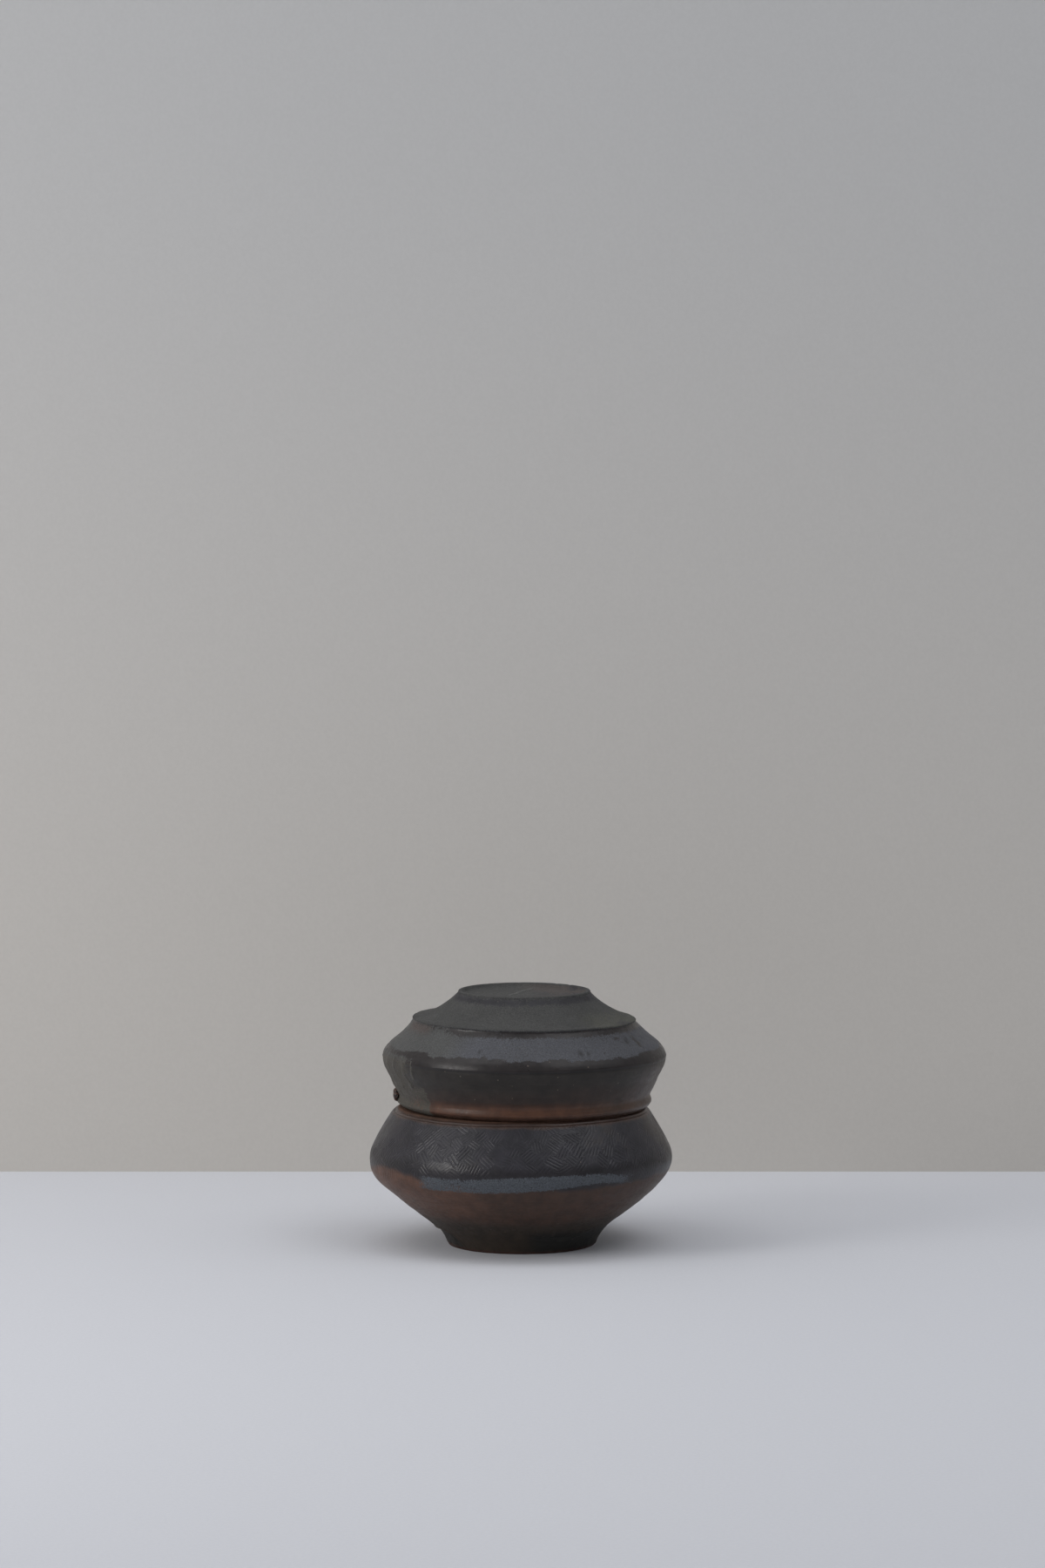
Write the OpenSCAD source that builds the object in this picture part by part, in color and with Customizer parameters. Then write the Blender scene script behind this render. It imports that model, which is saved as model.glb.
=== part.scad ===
// Lidded stoneware jar, wheel thrown and wood fired.
// The jar has a wide low belly on a narrow foot, and a thin collar that
// stands up inside its mouth. The lid is a bowl turned over: its rolled rim
// rests on the ledge around the collar, a little off centre, as the photo
// shows. A crumb of kiln debris is fused to the lid's left side.
// Millimetres, +Z up. The origin is on the ground at the centre of the foot.
// +X is to the right and -Y is the front, as the jar is seen.

/* [Jar body] */
// Diameter of the belly at its widest
belly_d = 140; // [130:1:150]
// Diameter of the foot just above the ground
foot_d = 70.4; // [64:0.4:76]
// Height of the ledge that carries the lid, above the ground
ledge_h = 63.8; // [58:0.2:70]
// Diameter of the lip at the outer edge of the ledge
lip_d = 115.6; // [113:0.2:118]
// Thickness of the jar's wall
jar_wall = 4.7; // [3.6:0.1:5.4]
// Thickness of the jar's floor
floor_t = 5.8; // [4.4:0.1:7]
// Depth of the hollow under the foot
foot_hollow = 2.8; // [1.6:0.1:3.6]
// Width of the ring that the jar stands on
foot_ring = 3.4; // [2.4:0.1:4.4]

/* [Mouth] */
// Outer diameter of the collar inside the lid
collar_d = 104.4; // [102:0.2:105.4]
// Thickness of the collar
collar_t = 2.8; // [2.2:0.1:3.6]
// Height of the collar above the ledge
collar_h = 5.4; // [3:0.2:8]

/* [Lid] */
// Diameter of the lid at its widest
lid_d = 131.4; // [126:0.2:136]
// Height of the lid above the ledge
lid_h = 53.9; // [49:0.1:58]
// Inner diameter of the lid's rim, which goes over the collar
rim_bore_d = 109; // [108.4:0.2:110]
// Diameter of the thin ridge part way up the lid
ridge_d = 103.8; // [101:0.2:107]
// Diameter of the crest around the dished top
crest_d = 61.4; // [58:0.2:64]
// Depth of the dish in the top of the lid
dish_depth = 1.9; // [1:0.1:2.6]
// Thickness of the lid's wall
lid_wall = 4.4; // [3.6:0.1:5]
// How far the lid sits to the right of the jar's axis
lid_shift = 1.5; // [0:0.1:1.5]

/* [Kiln crumb] */
// Width of the crumb of debris fused to the lid
crumb_w = 4; // [3:0.1:5]
// Height of its centre above the ledge
crumb_z = 6.2; // [5:0.1:8]
// Direction in which it lies, seen from above, counted from +X
crumb_turn = 186; // [170:1:205]

/* [Hidden] */
$fn = 180;
// flats in each stretch of a curve between two of its points
steps = 4;

// ---- curves -------------------------------------------------------------
// a smooth curve through four neighbouring points, from the second to the third
function glide(a, b, c, d, t) =
    0.5 * (2 * b + (c - a) * t + (2 * a - 5 * b + 4 * c - d) * t * t
           + (3 * b - a - 3 * c + d) * t * t * t);
// a smooth curve through all of a list of points
function through(p, n = steps) = concat(
    [for (i = [0 : len(p) - 2], k = [0 : n - 1])
        glide(p[max(i - 1, 0)], p[i], p[i + 1], p[min(i + 2, len(p) - 1)], k / n)],
    [p[len(p) - 1]]);
// the inner face of a wall: each point of the outer face moved in by t
function inward(p, t) = [for (i = [0 : len(p) - 1])
    let (d = p[min(i + 1, len(p) - 1)] - p[max(i - 1, 0)])
    p[i] + t * [-d[1], d[0]] / norm(d)];
// part of a list
function part(p, a, b) = [for (i = [a : b]) p[i]];
function back(p) = [for (i = [len(p) - 1 : -1 : 0]) p[i]];
// a quarter round or other arc: centre, radius, first and last angle
function arc(c, r, a, b, n = 4) =
    [for (k = [0 : n]) c + r * [cos(a + (b - a) * k / n), sin(a + (b - a) * k / n)]];

// ---- jar ----------------------------------------------------------------
foot_r = foot_d / 2;
belly_r = belly_d / 2;
lip_r = lip_d / 2;
// outline points are given for the nominal jar and follow its main sizes
function low_r(r) = foot_r + (r - 35.2) * (belly_r - foot_r) / (70 - 35.2);
function top_r(r) = lip_r + (r - 57.8) * (belly_r - lip_r) / (70 - 57.8);
function jar_z(z) = z * ledge_h / 63.8;

// outer face, from the top of the foot's edge to the lip
jar_skin = through([
    // foot, nearly upright, flaring into the lower cone
    [foot_r, 1.6],
    [low_r(36.1), jar_z(3.6)],
    [low_r(37.4), jar_z(5.6)],
    [low_r(39.4), jar_z(8)],
    [low_r(42.2), jar_z(10.6)],
    // lower cone, a little full
    [low_r(46), jar_z(13.5)],
    [low_r(52), jar_z(18)],
    [low_r(58.5), jar_z(23.4)],
    [low_r(64), jar_z(28.5)],
    // belly
    [low_r(67.3), jar_z(32.4)],
    [low_r(69.3), jar_z(36.2)],
    [belly_r, jar_z(40.2)],
    [top_r(69.4), jar_z(43.9)],
    [top_r(67.7), jar_z(47.8)],
    // shoulder
    [top_r(65), jar_z(52.8)],
    [top_r(62), jar_z(57.8)],
    [top_r(59.6), jar_z(61.6)],
    [top_r(58.9), ledge_h - 1.3]]);

collar_r = collar_d / 2;
bore_r = collar_r - collar_t; // mouth
floor_z = foot_hollow + floor_t;

// inner face of the wall, without the stretch that belongs to the foot
jar_lining = inward(jar_skin, jar_wall);
jar_bore = through(concat(
    [[0, floor_z], [12, floor_z], [22, floor_z + 0.4], [30, floor_z + 2.1]],
    [for (i = [5 : 14]) jar_lining[i * steps]],
    // under the ledge, in to the mouth
    [[lip_r - 3.4, ledge_h - 5.4], [bore_r + 2.6, ledge_h - 4.4],
     [bore_r + 0.4, ledge_h - 3]]), 3);

jar_outline = concat(
    // hollow under the foot, from the axis out
    [[0, foot_hollow], [foot_r - foot_ring - 7.6, foot_hollow - 0.1],
     [foot_r - foot_ring - 4.6, foot_hollow - 0.5],
     [foot_r - foot_ring - 3, foot_hollow - 1.3],
     [foot_r - foot_ring - 2.2, 0.4]],
    [[foot_r - foot_ring - 1.7, 0], [foot_r - 1.7, 0]],
    arc([foot_r - 1.6, 1.6], 1.6, -80, -20, 3),
    jar_skin,
    // lip, ledge and collar
    arc([lip_r - 0.6, ledge_h - 1.1], 1.1, 12, 90, 4),
    [[collar_r + 0.5, ledge_h], [collar_r + 0.1, ledge_h + 0.4]],
    [[collar_r, ledge_h + collar_h - 1.2]],
    arc([collar_r - collar_t / 2, ledge_h + collar_h - collar_t / 2],
        collar_t / 2, 20, 160, 6),
    [[bore_r, ledge_h + collar_h - 1.2], [bore_r, ledge_h - 1.6]],
    back(jar_bore));

module jar() {
    color("#3a2f2b") rotate_extrude() polygon(jar_outline);
}

// ---- lid ----------------------------------------------------------------
lid_r = lid_d / 2;
rim_r = lid_r - 6.8;          // the rolled rim at its fullest
rim_bore = rim_bore_d / 2;
ridge_r = ridge_d / 2;
crest_r = crest_d / 2;
top_z = ledge_h + lid_h;
// nominal radii of the lid's wall and shoulder, and heights above the ledge
function wall_r(r) = rim_r + (r - 58.9) * (lid_r - rim_r) / (65.7 - 58.9);
function hip_r(r) = ridge_r + (r - 51.9) * (lid_r - ridge_r) / (65.7 - 51.9);
function cone_r(r) = crest_r + (r - 30.7) * (ridge_r - crest_r) / (51.9 - 30.7);
function lid_z(z) = ledge_h + z * lid_h / 53.9;

lid_wall_skin = through([
    // underside of the rolled rim, from the flat it rests on
    [rim_bore + 1.5, ledge_h],
    [rim_r - 1.5, ledge_h + 0.8],
    [rim_r - 0.4, ledge_h + 1.9],
    [rim_r, ledge_h + 3],
    [rim_r - 0.2, ledge_h + 4.2],
    // waist above the roll, then the wall
    [rim_r - 0.6, ledge_h + 5.4],
    [rim_r - 0.3, ledge_h + 6.8],
    [wall_r(59.8), lid_z(9)],
    [wall_r(61.2), lid_z(12)],
    [wall_r(62.4), lid_z(14.8)],
    [wall_r(64), lid_z(17.7)],
    [wall_r(65.1), lid_z(20.3)],
    [lid_r, lid_z(23.1)],
    [hip_r(65.2), lid_z(25.6)],
    [hip_r(63.6), lid_z(28.2)],
    // sloping shoulder up to the ridge
    [hip_r(60.4), lid_z(31.2)],
    [hip_r(56.4), lid_z(34.6)],
    [hip_r(53.4), lid_z(37.6)],
    [hip_r(51.9), lid_z(39.5)],
    [ridge_r - 0.6, lid_z(40.3)]]);
lid_top_skin = through([
    [ridge_r - 0.4, lid_z(41.4)],
    [ridge_r - 1.8, lid_z(41.7)],
    [cone_r(47.6), lid_z(42.2)],
    [cone_r(43.2), lid_z(43.9)],
    [cone_r(38.8), lid_z(46.3)],
    [cone_r(34.6), lid_z(49.3)],
    [cone_r(32), lid_z(51.6)],
    [crest_r, top_z - 0.8]]);

lid_wall_lining = inward(lid_wall_skin, lid_wall);
lid_bore = through(concat(
    [[rim_bore + 0.1, ledge_h + 3.4], [rim_bore + 0.3, ledge_h + 6]],
    [for (i = [8 : 16]) lid_wall_lining[i * steps]],
    [[cone_r(48), lid_z(36.4)], [cone_r(44.4), lid_z(38.6)],
     [cone_r(39.6), lid_z(40.8)], [cone_r(35), lid_z(43.2)],
     [cone_r(30), lid_z(45.6)], [23, top_z - dish_depth - 5.3],
     [12, top_z - dish_depth - 5], [0, top_z - dish_depth - 4.9]]), 3);

lid_outline = concat(
    back(lid_bore),
    [[rim_bore, ledge_h + 0.5], [rim_bore + 0.4, ledge_h]],
    lid_wall_skin,
    // thin edge of the ridge
    [[ridge_r, lid_z(40.6)], [ridge_r, lid_z(41)]],
    lid_top_skin,
    // crest and dish
    [[crest_r - 0.3, top_z - 0.2], [crest_r - 0.7, top_z], [crest_r - 1.7, top_z],
     [crest_r - 2.3, top_z - 0.4], [crest_r - 3, top_z - 1],
     [crest_r - 4.6, top_z - dish_depth + 0.4],
     [crest_r - 8.6, top_z - dish_depth + 0.1],
     [0, top_z - dish_depth]]);

module lid() {
    color("#47443f") translate([lid_shift, 0, 0])
        rotate_extrude() polygon(lid_outline);
}

// ---- crumb of kiln debris, fused to the lid's waist ----------------------
module kiln_crumb() {
    s = crumb_w / 4;
    color("#5b3a2a")
    translate([lid_shift, 0, ledge_h + crumb_z]) rotate([0, 0, crumb_turn])
    translate([rim_r, 0, 0]) {
        // three grains melted into one lump, the lowest lying on the roll
        translate([0.3, 0, 1.5]) sphere(r = 1.7 * s, $fn = 24);
        translate([0.2, 0.9, -0.4]) sphere(r = 2 * s, $fn = 24);
        translate([0, -0.6, -2]) sphere(r = 1.6 * s, $fn = 24);
    }
}

jar();
lid();
kiln_crumb();
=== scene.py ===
import math

import bpy
import numpy as np
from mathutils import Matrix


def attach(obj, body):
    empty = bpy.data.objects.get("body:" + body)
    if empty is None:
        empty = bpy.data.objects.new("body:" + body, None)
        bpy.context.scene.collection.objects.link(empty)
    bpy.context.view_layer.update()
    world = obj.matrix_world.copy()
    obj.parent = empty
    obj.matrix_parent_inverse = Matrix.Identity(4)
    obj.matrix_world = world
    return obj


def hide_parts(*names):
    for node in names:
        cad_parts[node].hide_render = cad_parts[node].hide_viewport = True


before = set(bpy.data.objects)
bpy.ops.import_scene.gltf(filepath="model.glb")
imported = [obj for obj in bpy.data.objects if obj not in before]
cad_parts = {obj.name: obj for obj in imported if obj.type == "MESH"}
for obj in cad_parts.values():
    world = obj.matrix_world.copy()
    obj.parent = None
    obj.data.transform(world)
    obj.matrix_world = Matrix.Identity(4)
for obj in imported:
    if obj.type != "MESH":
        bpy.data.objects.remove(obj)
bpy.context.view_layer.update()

MM = 0.001
TAU = 2.0 * math.pi
LID_SHIFT = 1.5  # the lid sits this far to the right of the jar's axis


# ---- seeded noise ---------------------------------------------------------
def cell_hash(ix, iy, iz, seed):
    h = (ix * 73856093) ^ (iy * 19349663) ^ (iz * 83492791) ^ (seed * 40503 + 977)
    h = h & 0xFFFFFFFF
    h = ((h ^ (h >> 15)) * 0x2C1B3C6D) & 0xFFFFFFFF
    h = ((h ^ (h >> 12)) * 0x297A2D39) & 0xFFFFFFFF
    return (h ^ (h >> 15)) / 4294967295.0


def value_noise(p, seed):
    """Smooth noise from -1 to 1 at each row of p, one lattice cell per unit."""
    i = np.floor(p).astype(np.int64)
    f = p - i
    f = f * f * f * (f * (f * 6 - 15) + 10)
    out = np.zeros(len(p))
    for dx in (0, 1):
        wx = f[:, 0] if dx else 1 - f[:, 0]
        for dy in (0, 1):
            wy = f[:, 1] if dy else 1 - f[:, 1]
            for dz in (0, 1):
                wz = f[:, 2] if dz else 1 - f[:, 2]
                h = cell_hash(i[:, 0] + dx, i[:, 1] + dy, i[:, 2] + dz, seed)
                out += wx * wy * wz * h
    return out * 2 - 1


TURN = np.array([[0.80, 0.36, -0.48], [-0.60, 0.48, -0.64], [0.0, 0.80, 0.60]])


def fbm(p, size, octaves=4, seed=0, gain=0.5):
    """Layered noise, about -1 to 1, whose largest lumps are size millimetres."""
    q = p / size
    total, amp, norm = 0.0, 1.0, 0.0
    for o in range(octaves):
        total = total + amp * value_noise(q + 17.3 * o, seed + 31 * o)
        norm += amp
        amp *= gain
        q = (q @ TURN) * 2.03
    return total / norm * 1.5


def smooth(x, a, b):
    t = np.clip((x - a) / (b - a), 0, 1)
    return t * t * (3 - 2 * t)


def bump_at(x, centre, width):
    return np.exp(-(((x - centre) / width) ** 2))


def mix(a, b, t):
    t = np.asarray(t)[..., None]
    return a * (1 - t) + b * t


def wrap(a):
    """An angle in degrees brought to -180..180."""
    return (a + 180.0) % 360.0 - 180.0


def sector(deg, centre, half, soft):
    """1 inside centre +- half degrees, fading over soft degrees."""
    return 1 - smooth(np.abs(wrap(deg - centre)), half, half + soft)


# ---- outlines, the same stations as the CAD -------------------------------
def through(pts, n):
    p = np.array(pts, float)
    out = []
    for i in range(len(p) - 1):
        a, b, c, d = p[max(i - 1, 0)], p[i], p[i + 1], p[min(i + 2, len(p) - 1)]
        for k in range(n):
            t = k / n
            out.append(
                0.5
                * (
                    2 * b
                    + (c - a) * t
                    + (2 * a - 5 * b + 4 * c - d) * t * t
                    + (3 * b - a - 3 * c + d) * t**3
                )
            )
    out.append(p[-1])
    return np.array(out)


def inward(pts, t):
    p = np.array(pts, float)
    d = np.roll(p, -1, 0) - np.roll(p, 1, 0)
    d[0], d[-1] = p[1] - p[0], p[-1] - p[-2]
    n = np.stack([-d[:, 1], d[:, 0]], 1) / np.hypot(d[:, 0], d[:, 1])[:, None]
    return p + t * n


def arc(cx, cz, r, a, b, n):
    t = np.radians(np.linspace(a, b, n + 1))
    return np.stack([cx + r * np.cos(t), cz + r * np.sin(t)], 1)


JAR_SKIN = [
    (35.2, 1.6), (36.1, 3.6), (37.4, 5.6), (39.4, 8.0), (42.2, 10.6), (46.0, 13.5),
    (52.0, 18.0), (58.5, 23.4), (64.0, 28.5), (67.3, 32.4), (69.3, 36.2), (70.0, 40.2),
    (69.4, 43.9), (67.7, 47.8), (65.0, 52.8), (62.0, 57.8), (59.6, 61.6), (58.9, 62.5),
]
LID_WALL = [
    (56.0, 63.8), (57.4, 64.6), (58.5, 65.7), (58.9, 66.8), (58.7, 68.0), (58.3, 69.2),
    (58.6, 70.6), (59.8, 72.8), (61.2, 75.8), (62.4, 78.6), (64.0, 81.5), (65.1, 84.1),
    (65.7, 86.9), (65.2, 89.4), (63.6, 92.0), (60.4, 95.0), (56.4, 98.4), (53.4, 101.4),
    (51.95, 103.3), (51.62, 104.05),
]
LID_TOP = [
    (51.5, 105.2), (50.1, 105.5), (47.6, 106.0), (43.2, 107.7), (38.8, 110.1),
    (34.6, 113.1), (32.0, 115.4), (30.7, 116.9),
]


def resample(p, step):
    p = np.asarray(p, float)
    seg = np.hypot(*np.diff(p, axis=0).T)
    s = np.concatenate([[0], np.cumsum(seg)])
    n = max(1, int(round(s[-1] / step)))
    t = np.linspace(0, s[-1], n + 1)
    return np.stack([np.interp(t, s, p[:, 0]), np.interp(t, s, p[:, 1])], 1)


class Lathe:
    """A closed turned form: rings of points along an outline, each ring with
    its own number of points, so that detail can be finer where it shows."""

    def __init__(self, sections):
        r, z, zone, count = [], [], [], []
        for name, pts, step, n in sections:
            q = resample(pts, step)
            if r:  # the first point repeats the last section's end
                q = q[1:]
            r += list(q[:, 0])
            z += list(q[:, 1])
            zone += [name] * len(q)
            count += [n] * len(q)
        self.r, self.z = np.array(r), np.array(z)
        self.zone, count = np.array(zone), np.array(count)
        count[0] = count[-1] = 1
        self.r[0] = self.r[-1] = 0.0
        self.count = count
        d = np.stack([np.gradient(self.r), np.gradient(self.z)], 1)
        d /= np.hypot(d[:, 0], d[:, 1])[:, None]
        self.nr, self.nz = d[:, 1], -d[:, 0]
        self.nr[0] = self.nr[-1] = 0.0
        seg = np.hypot(np.diff(self.r), np.diff(self.z))
        self.s = np.concatenate([[0], np.cumsum(seg)])
        self.start = np.concatenate([[0], np.cumsum(count)])[:-1]
        ring = np.repeat(np.arange(len(count)), count)
        col = np.arange(count.sum()) - self.start[ring]
        self.ring = ring
        self.turn = col / count[ring]
        self.th = self.turn * TAU - math.pi / 2
        self.deg = wrap(np.degrees(self.th))
        self.R, self.Z = self.r[ring], self.z[ring]
        self.NR, self.NZ = self.nr[ring], self.nz[ring]
        self.S, self.zones = self.s[ring], self.zone[ring]
        self.P = np.stack(
            [self.R * np.sin(self.th), -self.R * np.cos(self.th), self.Z], 1
        )

    def within(self, *names):
        return np.isin(self.zones, names)

    def points(self, out, dr=0.0, dz=0.0):
        """Every point moved by out along its normal, then by dr and dz."""
        r = np.maximum(self.R + out * self.NR + dr, 0.0)
        z = self.Z + out * self.NZ + dz
        return np.stack([r * np.sin(self.th), -r * np.cos(self.th), z], 1)

    def faces(self):
        """Corner lists: ring and column (counted without wrapping) of each corner."""
        quads, tris = [], []
        for i in range(len(self.count) - 1):
            a, b = int(self.count[i]), int(self.count[i + 1])
            if a == b:
                j = np.arange(a)
                quads.append(
                    np.stack(
                        [
                            np.stack([np.full(a, i), j], 1),
                            np.stack([np.full(a, i), j + 1], 1),
                            np.stack([np.full(a, i + 1), j + 1], 1),
                            np.stack([np.full(a, i + 1), j], 1),
                        ],
                        1,
                    )
                )
            elif a == 1:
                j = np.arange(b)
                tris.append(
                    np.stack(
                        [
                            np.stack([np.full(b, i), j], 1),
                            np.stack([np.full(b, i + 1), j + 1], 1),
                            np.stack([np.full(b, i + 1), j], 1),
                        ],
                        1,
                    )
                )
            elif b == 1:
                j = np.arange(a)
                tris.append(
                    np.stack(
                        [
                            np.stack([np.full(a, i), j], 1),
                            np.stack([np.full(a, i), j + 1], 1),
                            np.stack([np.full(a, i + 1), j], 1),
                        ],
                        1,
                    )
                )
            else:
                # a strip of triangles between rings of different counts
                parts = math.gcd(a, b)
                p, q = a // parts, b // parts
                j = np.arange(parts)
                lo = hi = 0
                while lo < p or hi < q:
                    step_low = hi == q or (lo < p and (lo + 1) * q <= (hi + 1) * p)
                    first = np.stack([np.full(parts, i), j * p + lo], 1)
                    last = np.stack([np.full(parts, i + 1), j * q + hi], 1)
                    if step_low:
                        lo += 1
                        middle = np.stack([np.full(parts, i), j * p + lo], 1)
                    else:
                        hi += 1
                        middle = np.stack([np.full(parts, i + 1), j * q + hi], 1)
                    tris.append(np.stack([first, middle, last], 1))
        return np.concatenate(quads), np.concatenate(tris)

    def build(self, name, co_mm, shift_mm, bands, attributes):
        """The mesh object. bands gives each stretch of rings its place on the
        sheet that textures may be laid out on: (first ring, last ring, halves,
        low v, high v); a stretch in two halves takes two strips."""
        quads, tris = self.faces()
        corners = np.concatenate([quads.reshape(-1, 2), tris.reshape(-1, 2)])
        ring, col = corners[:, 0], corners[:, 1]
        vert = self.start[ring] + col % self.count[ring]
        sizes = np.concatenate([np.full(len(quads), 4), np.full(len(tris), 3)])
        me = bpy.data.meshes.new(name)
        me.vertices.add(len(co_mm))
        co = (co_mm + np.array([shift_mm, 0.0, 0.0])) * MM
        me.vertices.foreach_set("co", co.astype(np.float32).ravel())
        me.loops.add(len(vert))
        me.loops.foreach_set("vertex_index", vert.astype(np.int32))
        me.polygons.add(len(sizes))
        starts = np.concatenate([[0], np.cumsum(sizes)])[:-1]
        me.polygons.foreach_set("loop_start", starts.astype(np.int32))
        me.polygons.foreach_set("use_smooth", np.ones(len(sizes), bool))
        me.update(calc_edges=True)
        me.validate()

        # where each face lies, for the sheet
        face = np.repeat(np.arange(len(sizes)), sizes)
        turn = col / self.count[ring]
        big = self.count[ring] > 1
        mid = np.zeros(len(sizes))
        np.add.at(mid, face, np.where(big, turn, 0.0))
        mid /= np.maximum(np.bincount(face, weights=big, minlength=len(sizes)), 1)
        turn = np.where(big, turn, mid[face])
        low = np.full(len(sizes), 10**9)
        np.minimum.at(low, face, ring)
        uv = np.zeros((len(vert), 2))
        for r0, r1, halves, v0, v1 in bands:
            here = (low[face] >= r0) & (low[face] < r1)
            t = (self.s[ring] - self.s[r0]) / (self.s[r1] - self.s[r0])
            if halves:
                back = mid[face] >= 0.5
                height = (v1 - v0 - 0.008) / 2
                u = (turn - 0.5 * back) * 2
                v = v0 + t * height + back * (height + 0.008)
            else:
                u, v = turn, v0 + t * (v1 - v0)
            uv[here] = np.stack([0.004 + 0.992 * u, v], 1)[here]
        layer = me.uv_layers.new(name="OFBake")
        layer.data.foreach_set("uv", uv.astype(np.float32).ravel())

        for key, values in attributes.items():
            if values.ndim == 2:
                a = me.attributes.new(key, "FLOAT_COLOR", "POINT")
                rgba = np.ones((len(values), 4), np.float32)
                rgba[:, :3] = np.clip(values, 0, 1)
                a.data.foreach_set("color", rgba.ravel())
            else:
                a = me.attributes.new(key, "FLOAT", "POINT")
                a.data.foreach_set("value", values.astype(np.float32))
        ob = bpy.data.objects.new(name, me)
        bpy.context.scene.collection.objects.link(ob)
        print(name, "triangles:", 2 * len(quads) + len(tris))
        return ob


# ---- paddle marks ----------------------------------------------------------
def stamps(deg, up, seed, rows, n, cell_t, pitches, jitter):
    """Patches of parallel grooves, one patch per stroke of a grooved paddle, in
    leaning rows. Returns the groove count, and how deep the patch is here, 0 to 1."""
    around = 408.4
    cell_s = around / n
    s = (deg % 360.0) / 360.0 * around
    rng = np.random.default_rng(seed)
    js = rng.normal(0, jitter * cell_s, (rows, n))
    jt = rng.normal(0, jitter * 1.4 * cell_t, (rows, n))
    lean = rng.normal(0, 10, (rows, n))
    depth = rng.uniform(0.0, 1.0, (rows, n)) ** 0.7
    pitch = rng.uniform(pitches[0], pitches[1], (rows, n))
    offset = rng.uniform(0, 1, (rows, n))
    swap = rng.uniform(0, 1, (rows, n))
    best = np.full(len(s), 1e9)
    second = np.full(len(s), 1e9)
    phase = np.zeros(len(s))
    amp = np.zeros(len(s))
    k0 = np.floor(up / cell_t).astype(int)
    for dk in (-1, 0, 1, 2):
        k = k0 + dk
        kk = np.clip(k, 0, rows - 1)
        m0 = np.floor(s / cell_s - 0.5 * (kk % 2)).astype(int)
        for dm in (-1, 0, 1):
            m = (m0 + dm) % n
            cs = (m0 + dm + 0.5 + 0.5 * (kk % 2)) * cell_s + js[kk, m]
            ct = (kk + 0.5) * cell_t + jt[kk, m]
            ds, dt = s - cs, up - ct
            # strokes lean more on one side than on the other, as a hand does
            slant = np.where(kk % 2 == 0, 52.0, -36.0) + lean[kk, m]
            slant = np.where(swap[kk, m] < 0.16, np.where(slant > 0, -38.0, 50.0), slant)
            cd = wrap(cs / around * 360.0)
            steep = swap[kk, m] > 0.95 - 0.40 * bump_at(cd, 56, 24) - 0.3 * (kk == 0)
            slant = np.where(steep, 80.0 + lean[kk, m], slant)
            ca, sa = np.cos(np.radians(slant)), np.sin(np.radians(slant))
            along, across = ds * ca + dt * sa, -ds * sa + dt * ca
            dist = (np.abs(along / 1.12) ** 4 + np.abs(across * 1.06) ** 4) ** 0.25
            dist = np.where(k == kk, dist, 1e9)
            ph = across / pitch[kk, m] + offset[kk, m]
            nearer = dist < best
            second = np.where(nearer, best, np.minimum(second, dist))
            phase = np.where(nearer, ph, phase)
            amp = np.where(nearer, depth[kk, m], amp)
            best = np.where(nearer, dist, best)
    return phase, amp * smooth(second - best, 0.0, 0.7)


def paddle(deg, up, P):
    """The marks of a grooved paddle struck over and over round the shoulder.
    deg is the angle, up the distance along the wall in mm. Returns how deep the
    grooves are here, and the groove count and depth for the finest relief."""
    phase, amp = stamps(deg, up, 411, 15, 54, 3.8, (1.25, 1.65), 0.13)
    phase2, amp2 = stamps(deg, up, 97, 11, 40, 5.2, (1.05, 1.35), 0.16)
    worn = smooth(fbm(P, 15, 3, seed=5), -0.55, 0.45)
    worn = np.maximum(worn, bump_at(deg, 22, 15) * smooth(up, 14, 20))
    worn = np.maximum(worn, 0.9 * bump_at(deg, -34, 22))
    other = smooth(fbm(P, 12, 3, seed=6), -0.2, 0.6)
    amp = amp * (0.12 + 0.88 * worn)
    amp2 = 0.6 * amp2 * other * (1 - 0.6 * worn)
    cut1 = (0.5 + 0.5 * np.cos(TAU * phase)) ** 1.4
    cut2 = (0.5 + 0.5 * np.cos(TAU * phase2)) ** 1.4
    return np.maximum(amp * cut1, amp2 * cut2), phase, amp


# ---- the jar ---------------------------------------------------------------
skin = through(JAR_SKIN, 12)
lining = inward(through(JAR_SKIN, 4), 4.7)
bore = through(
    [(0, 8.6), (12, 8.6), (22, 9.0), (30, 10.7)]
    + [tuple(lining[i * 4]) for i in range(5, 15)]
    + [(54.4, 58.4), (52.0, 59.4), (49.8, 60.8)],
    8,
)
cut = [
    int(np.argmin(np.abs(skin[:, 1] - 12.0))),
    int(np.argmin(np.abs(skin[:, 1] - 34.2))),
]
under = np.vstack(
    [through([(0, 2.8), (12, 2.8), (24.2, 2.7), (27.2, 2.3), (28.8, 1.5), (29.6, 0.4)], 6),
     [(30.1, 0.0), (33.5, 0.0)]]
)
foot_edge = np.vstack([[(33.5, 0.0)], arc(33.6, 1.6, 1.6, -80, -14, 6)])
lip = np.vstack([skin[-1:], arc(57.2, 62.7, 1.1, 12, 90, 8)])
collar = np.vstack(
    [[(52.7, 63.8)], arc(52.72, 64.32, 0.52, 270, 180, 4)[1:], [(52.2, 68.0)],
     arc(50.8, 67.8, 1.4, 12, 168, 12), [(49.4, 68.0), (49.4, 62.2)]]
)
inside = np.vstack([[(49.4, 62.2), (49.45, 61.4)], bore[::-1]])
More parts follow.
